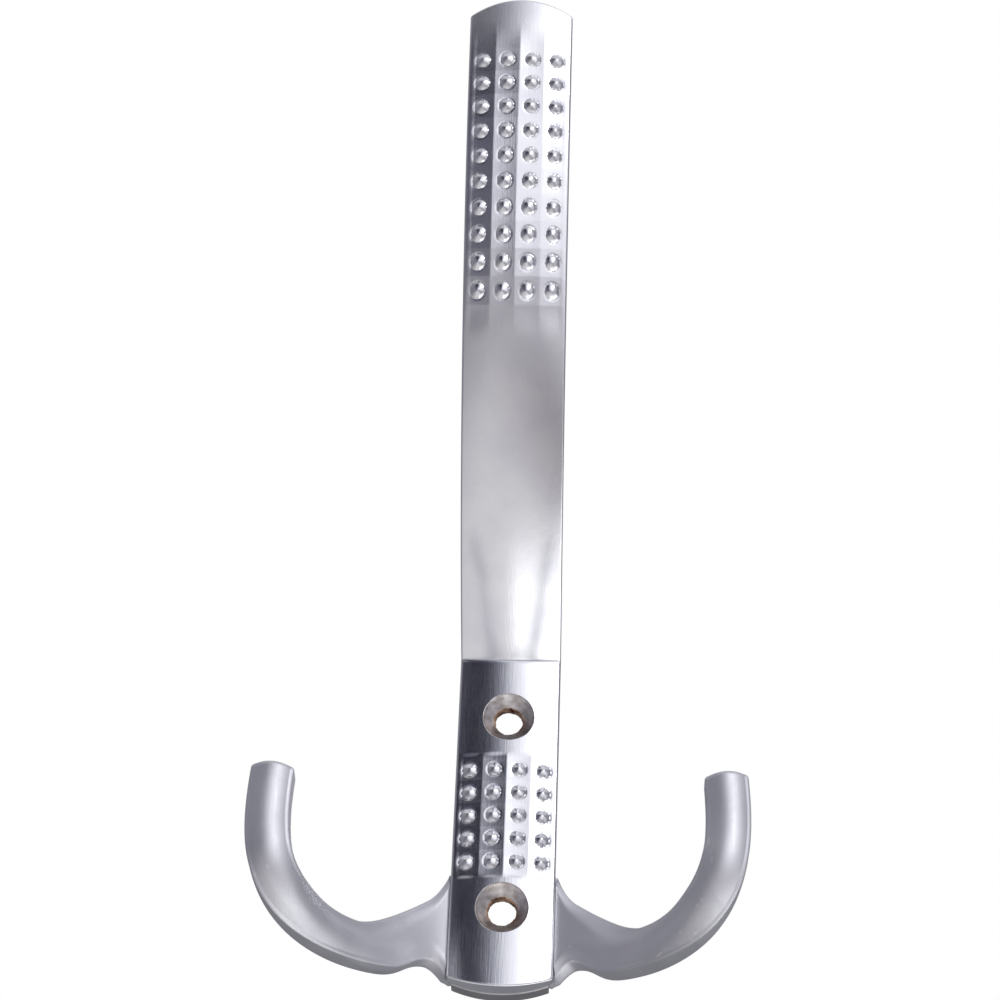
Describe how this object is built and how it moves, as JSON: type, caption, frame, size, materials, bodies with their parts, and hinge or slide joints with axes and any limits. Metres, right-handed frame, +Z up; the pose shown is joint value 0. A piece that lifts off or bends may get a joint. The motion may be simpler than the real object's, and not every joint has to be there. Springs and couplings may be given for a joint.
{
  "type": "wall coat hook",
  "caption": "Wall coat hook: a crowned strap with a long hat arm sweeping up and out, and a smaller hook curling forward on each side of its screw plate.",
  "frame": {"origin": "on the wall face, midway between the two screw holes", "axes": "+Z up along the strap, +Y into the wall, +X to the right seen from the front"},
  "size_m": [0.0718, 0.0651, 0.1434],
  "materials": {
    "strap_satin_chrome": "satin chrome plate on zinc die casting, polished darker on the dotted panels",
    "hook_satin_chrome": "satin chrome plate on zinc die casting, slightly duller than the strap"
  },
  "bodies": {
    "root": {"front_strap": "strap_satin_chrome", "double_hook": "hook_satin_chrome"}
  },
  "joints": []
}
